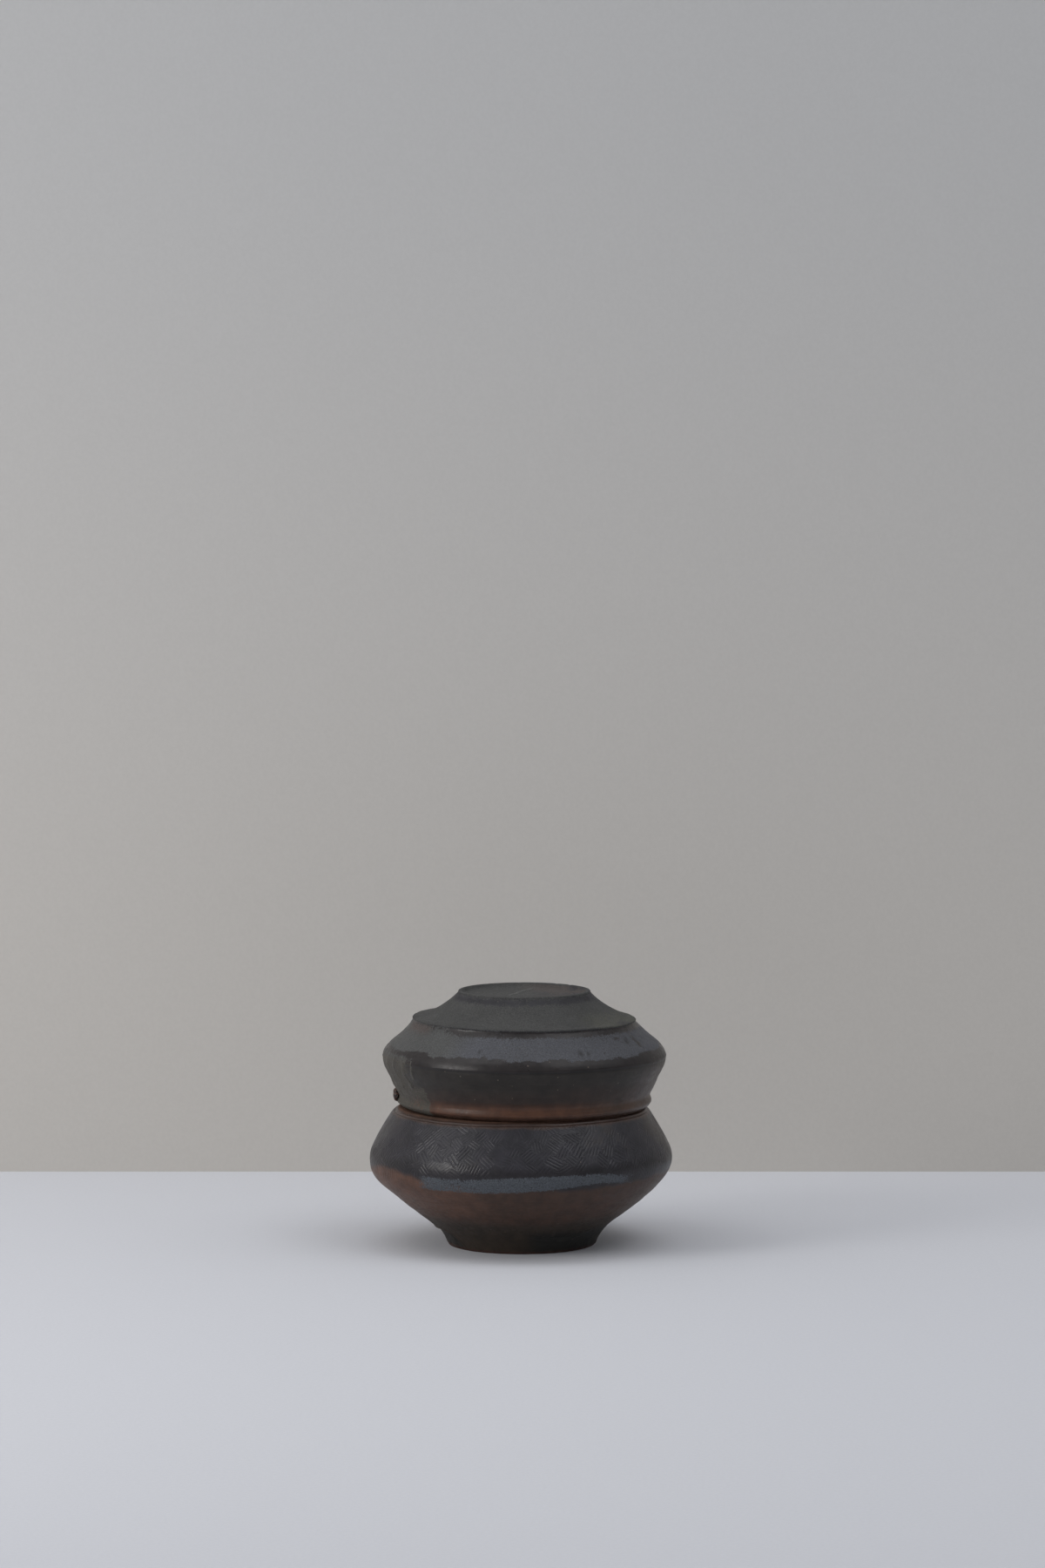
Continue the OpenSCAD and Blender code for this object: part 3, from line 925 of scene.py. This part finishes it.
out, dr, dz, extra = lid_relief(lid)
co = lid.points(out, dr, dz)
rad = np.hypot(co[:, 0], co[:, 1])
co[:, :2] *= np.minimum(1.0, 65.66 / np.maximum(rad, 1e-6))[:, None]
co[:, 2] = np.clip(co[:, 2], 63.8, 117.69)
lid_ob = lid.build(
    "lid_body",
    co,
    LID_SHIFT,
    bands_for(lid, [
        ("inside", "rim", False, 0.006, 0.170),
        ("roll", "dish", True, 0.180, 0.994),
    ]),
    lid_paint(lid, extra),
)


# ---- the crumb -------------------------------------------------------------
def crumb_mesh():
    """Three grains melted into one lump: points of a fine ball pushed out to
    the joined surface of three balls, then pitted."""
    import bmesh

    turn = math.radians(186)
    ux, uy = math.cos(turn), math.sin(turn)
    base = np.array([LID_SHIFT + 58.9 * ux, 58.9 * uy, 70.0])
    balls = []
    for bx, by, bz, br in ((0.3, 0, 1.5, 1.7), (0.2, 0.9, -0.4, 2.0), (0, -0.6, -2, 1.6)):
        balls.append((base + np.array([bx * ux - by * uy, bx * uy + by * ux, bz]), br))
    centre = base + np.array([0.15 * ux, 0.15 * uy, -0.3])
    bm = bmesh.new()
    bmesh.ops.create_icosphere(bm, subdivisions=5, radius=1.0)
    me = bpy.data.meshes.new("kiln_crumb_lump")
    bm.to_mesh(me)
    bm.free()
    v = np.zeros(len(me.vertices) * 3, np.float32)
    me.vertices.foreach_get("co", v)
    d = v.reshape(-1, 3).astype(float)
    d /= np.linalg.norm(d, axis=1)[:, None]

    def field(p):
        k = 0.55
        acc = 0.0
        for c, r in balls:
            acc = acc + np.exp(-(np.linalg.norm(p - c, axis=1) - r * 0.98) / k * 2.2)
        return -np.log(acc) * k / 2.2

    lo = np.zeros(len(d))
    hi = np.full(len(d), 6.0)
    for _ in range(30):
        t = (lo + hi) / 2
        f = field(centre + d * t[:, None])
        lo = np.where(f < 0, t, lo)
        hi = np.where(f < 0, hi, t)
    p = centre + d * lo[:, None]
    rough = fbm(p, 1.3, 3, seed=90)
    pits = smooth(fbm(p, 0.8, 2, seed=91), 0.35, 0.8)
    p = centre + d * (lo * (1 - 0.05) - 0.10 + 0.16 * rough - 0.22 * pits)[:, None]
    me.vertices.foreach_set("co", (p * MM).astype(np.float32).ravel())
    me.polygons.foreach_set("use_smooth", np.ones(len(me.polygons), bool))
    layer = me.uv_layers.new(name="OFBake")
    corner = np.zeros(len(me.loops), np.int32)
    me.loops.foreach_get("vertex_index", corner)
    # laid out as two round halves, one from above and one from below
    total = np.zeros(len(me.polygons), np.int32)
    me.polygons.foreach_get("loop_total", total)
    face = np.repeat(np.arange(len(total)), total)
    zmid = np.bincount(face, weights=d[corner, 2]) / total
    upper = zmid[face] >= 0
    flat = d[corner, :2] / np.sqrt(1 + np.abs(d[corner, 2]))[:, None]
    u = np.where(upper, 0.25, 0.75) + flat[:, 0] * 0.235 * np.where(upper, 1, -1)
    w = 0.5 + flat[:, 1] * 0.235
    layer.data.foreach_set("uv", np.stack([u, w], 1).astype(np.float32).ravel())
    # pit depth, which the debris material turns near black as painted shade
    a = me.attributes.new("pits", "FLOAT", "POINT")
    a.data.foreach_set("value", (pits - 0.5 * rough).astype(np.float32))
    me.update()
    ob = bpy.data.objects.new("kiln_crumb_lump", me)
    bpy.context.scene.collection.objects.link(ob)
    return ob


crumb_ob = crumb_mesh()


# ---- materials -------------------------------------------------------------
class Graph:
    def __init__(self, name):
        self.mat = bpy.data.materials.new(name)
        self.mat.use_nodes = True
        self.tree = self.mat.node_tree
        self.tree.nodes.clear()
        self.out = self.tree.nodes.new("ShaderNodeOutputMaterial")
        self.x = 0

    def node(self, kind, **props):
        n = self.tree.nodes.new(kind)
        for k, v in props.items():
            setattr(n, k, v)
        self.x += 30
        n.location = (self.x, 0)
        return n

    def put(self, socket, value):
        if isinstance(value, bpy.types.NodeSocket):
            self.tree.links.new(value, socket)
        elif value is not None:
            socket.default_value = value

    def math(self, op, a, b=None, c=None, clamp=False):
        n = self.node("ShaderNodeMath", operation=op, use_clamp=clamp)
        self.put(n.inputs[0], a)
        if b is not None:
            self.put(n.inputs[1], b)
        if c is not None:
            self.put(n.inputs[2], c)
        return n.outputs[0]

    def attr(self, name, colour=False):
        n = self.node("ShaderNodeAttribute", attribute_type="GEOMETRY", attribute_name=name)
        return n.outputs["Color"] if colour else n.outputs["Fac"]

    def place(self):
        """Object position in millimetres."""
        tc = self.node("ShaderNodeTexCoord")
        n = self.node("ShaderNodeVectorMath", operation="SCALE")
        self.put(n.inputs[0], tc.outputs["Object"])
        n.inputs["Scale"].default_value = 1000.0
        return n.outputs[0]

    def stretch(self, vector, scale):
        n = self.node("ShaderNodeVectorMath", operation="MULTIPLY")
        self.put(n.inputs[0], vector)
        n.inputs[1].default_value = scale
        return n.outputs[0]

    def noise(self, vector, size, detail=2.0, rough=0.5, distort=0.0):
        n = self.node("ShaderNodeTexNoise")
        self.put(n.inputs["Vector"], vector)
        n.inputs["Scale"].default_value = 1.0 / size
        n.inputs["Detail"].default_value = detail
        n.inputs["Roughness"].default_value = rough
        n.inputs["Distortion"].default_value = distort
        return n.outputs[0]

    def ramp(self, value, a, b, to_a=0.0, to_b=1.0):
        n = self.node("ShaderNodeMapRange", interpolation_type="SMOOTHSTEP")
        self.put(n.inputs["Value"], value)
        n.inputs["From Min"].default_value = a
        n.inputs["From Max"].default_value = b
        n.inputs["To Min"].default_value = to_a
        n.inputs["To Max"].default_value = to_b
        return n.outputs[0]

    def blend(self, fac, a, b, how="MIX"):
        n = self.node("ShaderNodeMix", data_type="RGBA", blend_type=how)
        self.put(n.inputs["Factor"], fac)
        self.put(n.inputs[6], a)
        self.put(n.inputs[7], b)
        return n.outputs[2]

    def bump(self, height_mm, normal=None, strength=1.0):
        n = self.node("ShaderNodeBump")
        n.inputs["Strength"].default_value = strength
        n.inputs["Distance"].default_value = MM
        self.put(n.inputs["Height"], height_mm)
        if normal is not None:
            self.put(n.inputs["Normal"], normal)
        return n.outputs[0]


def stoneware(name):
    g = Graph(name)
    p = g.place()
    bsdf = g.node("ShaderNodeBsdfPrincipled")
    grain = g.noise(p, 0.55, 3.0, 0.6)
    coarse = g.noise(p, 1.7, 3.0, 0.55)
    cloud = g.noise(p, 6.0, 3.0, 0.55)
    # fired clay and glaze: mottled a little, with iron freckles
    tone = g.attr("tone", True)
    mottle = g.ramp(cloud, 0.30, 0.70, 0.80, 1.22)
    fleck = g.ramp(grain, 0.62, 0.74, 1.0, 0.62)
    lighten = g.math("MULTIPLY", mottle, fleck)
    tone = g.blend(1.0, tone, lighten, "MULTIPLY")
    # pale sand grains, sparse
    vor = g.node("ShaderNodeTexVoronoi", feature="F1")
    g.put(vor.inputs["Vector"], p)
    vor.inputs["Scale"].default_value = 1.0 / 3.4
    chance = g.node("ShaderNodeSeparateColor")
    g.put(chance.inputs[0], vor.outputs["Color"])
    few = g.ramp(chance.outputs[0], 0.80, 0.82)
    dot = g.math("MULTIPLY", g.ramp(vor.outputs["Distance"], 0.06, 0.13, 1.0, 0.0), few)
    tone = g.blend(g.math("MULTIPLY", dot, 0.55), tone, (0.16, 0.13, 0.10, 1))
    # ash: where it thins it breaks into speckles
    ash = g.attr("ash")
    broken = g.math("ADD", g.math("MULTIPLY", grain, 0.55), g.math("MULTIPLY", coarse, 0.45))
    over = g.math("ADD", ash, g.math("MULTIPLY", g.math("SUBTRACT", broken, 0.5), 2.2))
    cover = g.math("MULTIPLY", g.ramp(over, 0.36, 0.72), g.ramp(ash, 0.02, 0.25))
    dust = g.attr("dust", True)
    dusty = g.blend(1.0, dust, g.ramp(grain, 0.30, 0.72, 0.70, 1.35), "MULTIPLY")
    colour = g.blend(cover, tone, dusty)
    g.put(bsdf.inputs["Base Color"], colour)
    # sheen: smooth where glazed, dry under ash
    rough = g.math("ADD", g.attr("rough"), g.ramp(coarse, 0.3, 0.7, -0.05, 0.06))
    rough = g.math("ADD", rough, g.math("MULTIPLY", cover, 0.22), clamp=True)
    g.put(bsdf.inputs["Roughness"], rough)
    bsdf.inputs["IOR"].default_value = 1.5
    bsdf.inputs["Specular IOR Level"].default_value = 0.36
    # finest relief, in millimetres
    phase = g.attr("phase")
    wave = g.math("COSINE", g.math("MULTIPLY", phase, TAU))
    wave = g.math("MULTIPLY", g.math("ADD", wave, 1.0), 0.5)
    sharp = g.math("MULTIPLY", g.math("POWER", wave, 3.0), g.attr("groove"))
    h = g.math("MULTIPLY", sharp, -0.7)
    h = g.math("ADD", h, g.math("MULTIPLY", g.math("MULTIPLY", coarse, g.attr("peel")), 2.2))
    h = g.math("ADD", h, g.math("MULTIPLY", g.math("MULTIPLY", grain, g.attr("peel")), 0.7))
    thread = g.noise(g.stretch(p, (0.045, 0.045, 1.0)), 0.75, 3.0, 0.55)
    h = g.math("ADD", h, g.math("MULTIPLY", g.math("MULTIPLY", thread, g.attr("lines")), 2.0))
    h = g.math("ADD", h, g.math("MULTIPLY", g.math("MULTIPLY", grain, cover), 0.05))
    h = g.math("ADD", h, g.math("MULTIPLY", dot, 0.05))
    g.put(bsdf.inputs["Normal"], g.bump(h))
    g.put(g.out.inputs["Surface"], bsdf.outputs[0])
    return g.mat


def kiln_debris(name):
    g = Graph(name)
    p = g.place()
    bsdf = g.node("ShaderNodeBsdfPrincipled")
    grain = g.noise(p, 0.5, 3.0, 0.6)
    lump = g.noise(p, 1.4, 3.0, 0.6)
    c = g.blend(g.ramp(lump, 0.38, 0.62), (0.011, 0.008, 0.007, 1), (0.080, 0.034, 0.022, 1))
    # painted shade: near black down in the pits
    c = g.blend(g.ramp(g.attr("pits"), 0.1, 0.7), c, (0.006, 0.005, 0.005, 1))
    c = g.blend(g.math("MULTIPLY", g.ramp(grain, 0.60, 0.70), 0.6), c, (0.22, 0.17, 0.15, 1))
    g.put(bsdf.inputs["Base Color"], c)
    g.put(bsdf.inputs["Roughness"], g.ramp(lump, 0.35, 0.65, 0.22, 0.55))
    h = g.math("ADD", g.math("MULTIPLY", grain, 0.10), g.math("MULTIPLY", lump, 0.18))
    g.put(bsdf.inputs["Normal"], g.bump(h))
    g.put(g.out.inputs["Surface"], bsdf.outputs[0])
    return g.mat


jar_ob.data.materials.append(stoneware("jar_stoneware"))
lid_ob.data.materials.append(stoneware("lid_stoneware"))
crumb_ob.data.materials.append(kiln_debris("kiln_debris"))

for ob, node, body, slot in (
    (jar_ob, "jar", "jar", "jar_stoneware"),
    (lid_ob, "lid", "lid", "lid_stoneware"),
    (crumb_ob, "kiln_crumb", "lid", "kiln_debris"),
):
    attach(ob, body)
    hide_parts(node)


# ---- floor, backdrop, light and camera -------------------------------------
def sheet(name, corners, material):
    me = bpy.data.meshes.new(name)
    me.from_pydata(corners, [], [(0, 1, 2, 3)])
    me.materials.append(material)
    ob = bpy.data.objects.new(name, me)
    bpy.context.scene.collection.objects.link(ob)
    return ob


def card(name, colour, low=None, high=None, one_sided=False):
    g = Graph(name)
    bsdf = g.node("ShaderNodeBsdfDiffuse")
    p = g.place()
    grain = g.noise(p, 1.6, 3.0, 0.6)
    # a colour that runs with height; on the backdrop it is painted light
    if low is not None:
        z = g.node("ShaderNodeSeparateXYZ")
        g.put(z.inputs[0], p)
        base = g.blend(g.ramp(z.outputs[2], low[0], high[0]), low[1], high[1])
    else:
        base = colour
    base = g.blend(1.0, base, g.ramp(grain, 0.3, 0.7, 0.985, 1.012), "MULTIPLY")
    g.put(bsdf.inputs["Color"], base)
    shade = bsdf.outputs[0]
    if one_sided:
        geo = g.node("ShaderNodeNewGeometry")
        clear = g.node("ShaderNodeBsdfTransparent")
        m = g.node("ShaderNodeMixShader")
        g.put(m.inputs[0], geo.outputs["Backfacing"])
        g.put(m.inputs[1], shade)
        g.put(m.inputs[2], clear.outputs[0])
        shade = m.outputs[0]
    g.put(g.out.inputs["Surface"], shade)
    return g.mat


floor = sheet(
    "floor",
    [(-6, -6, 0), (6, -6, 0), (6, 6, 0), (-6, 6, 0)],
    card("pale_floor", (0.66, 0.67, 0.71, 1)),
)
# the wall stands close behind and shows only its face, so that it never hides
# the jar from behind
wall = sheet(
    "backdrop",
    [(-6, 0.2215, 0), (6, 0.2215, 0), (6, 0.2215, 3), (-6, 0.2215, 3)],
    card(
        "pale_wall", None,
        # painted light: brighter and warmer low down, darker and greyer up high
        (60.0, (0.60, 0.575, 0.54, 1)), (620.0, (0.545, 0.545, 0.545, 1)),
        one_sided=True,
    ),
)

scene = bpy.context.scene
scene.view_settings.view_transform = "Standard"
scene.view_settings.look = "None"
scene.view_settings.exposure = 0.0
scene.view_settings.gamma = 1.0

# brightness of the room, and how much darker its front and right are
ROOM, ROOM_FRONT, ROOM_RIGHT = 0.50, 0.45, 0.45

world = bpy.data.worlds.new("studio")
scene.world = world
world.use_nodes = True
wt = world.node_tree
wt.nodes.clear()


def wnode(kind, **props):
    n = wt.nodes.new(kind)
    for k, v in props.items():
        setattr(n, k, v)
    return n


def wramp(socket, a, b, lo=0.0, hi=1.0):
    n = wnode("ShaderNodeMapRange", interpolation_type="SMOOTHSTEP")
    wt.links.new(socket, n.inputs["Value"])
    for key, v in (("From Min", a), ("From Max", b), ("To Min", lo), ("To Max", hi)):
        n.inputs[key].default_value = v
    return n.outputs[0]


def wmath(op, a, b):
    n = wnode("ShaderNodeMath", operation=op)
    for i, v in enumerate((a, b)):
        if isinstance(v, bpy.types.NodeSocket):
            wt.links.new(v, n.inputs[i])
        else:
            n.inputs[i].default_value = v
    return n.outputs[0]


# an even pale room, dimmer towards the open front and the far right
w_dir = wnode("ShaderNodeSeparateXYZ")
wt.links.new(wnode("ShaderNodeTexCoord").outputs["Generated"], w_dir.inputs[0])
front = wmath("MULTIPLY", wramp(w_dir.outputs[1], -0.75, -0.15, 1.0, 0.0), wramp(w_dir.outputs[2], 0.30, 0.75, 1.0, 0.0))
right = wmath("MULTIPLY", wramp(w_dir.outputs[0], 0.45, 0.85), wramp(w_dir.outputs[2], 0.35, 0.85, 1.0, 0.0))
dim = wmath("MAXIMUM", wmath("MULTIPLY", front, ROOM_FRONT), wmath("MULTIPLY", right, ROOM_RIGHT))
w_bg = wnode("ShaderNodeBackground")
w_bg.inputs["Color"].default_value = (0.95, 0.97, 1.0, 1)
wt.links.new(wmath("MULTIPLY", wmath("SUBTRACT", 1.0, dim), ROOM), w_bg.inputs["Strength"])
wt.links.new(w_bg.outputs[0], wnode("ShaderNodeOutputWorld").inputs[0])


def panel(name, azimuth, elevation, distance, width, height, power, colour, aim=(0, 0, 0.07)):
    """A soft light at an azimuth counted from the camera's side, + to the right."""
    a, e = math.radians(azimuth), math.radians(elevation)
    lamp = bpy.data.lights.new(name, "AREA")
    lamp.shape = "RECTANGLE"
    lamp.size, lamp.size_y = width, height
    lamp.energy = power
    lamp.color = colour
    ob = bpy.data.objects.new(name, lamp)
    scene.collection.objects.link(ob)
    way = np.array([math.sin(a) * math.cos(e), -math.cos(a) * math.cos(e), math.sin(e)])
    ob.location = np.array(aim) + way * distance
    from mathutils import Vector

    ob.rotation_euler = Vector(-way).to_track_quat("-Z", "Y").to_euler()
    ob.visible_camera = False
    return ob


panel("key_left", -60, 22, 1.3, 0.45, 0.5, 4.6, (1.0, 0.98, 0.96))
panel("left", -86, 46, 1.6, 1.1, 1.1, 3.0, (1.0, 0.99, 0.97))
panel("right", 84, 48, 1.6, 1.1, 1.1, 2.4, (0.97, 0.98, 1.0))
panel("right_front", 42, 50, 1.5, 0.4, 0.4, 1.0, (0.97, 0.98, 1.0))
panel("top", 0, 84, 1.9, 2.4, 0.9, 8.0, (0.97, 0.98, 1.0))

cam_data = bpy.data.cameras.new("camera")
cam_data.lens = 130.0
cam_data.sensor_width = 36.0
cam_data.clip_start, cam_data.clip_end = 0.05, 50.0
cam = bpy.data.objects.new("camera", cam_data)
scene.collection.objects.link(cam)
cam.location = (0.00068, -2.5954, 0.4201)
cam.rotation_euler = (math.radians(90 - 4.566), 0.0, 0.0)
scene.camera = cam
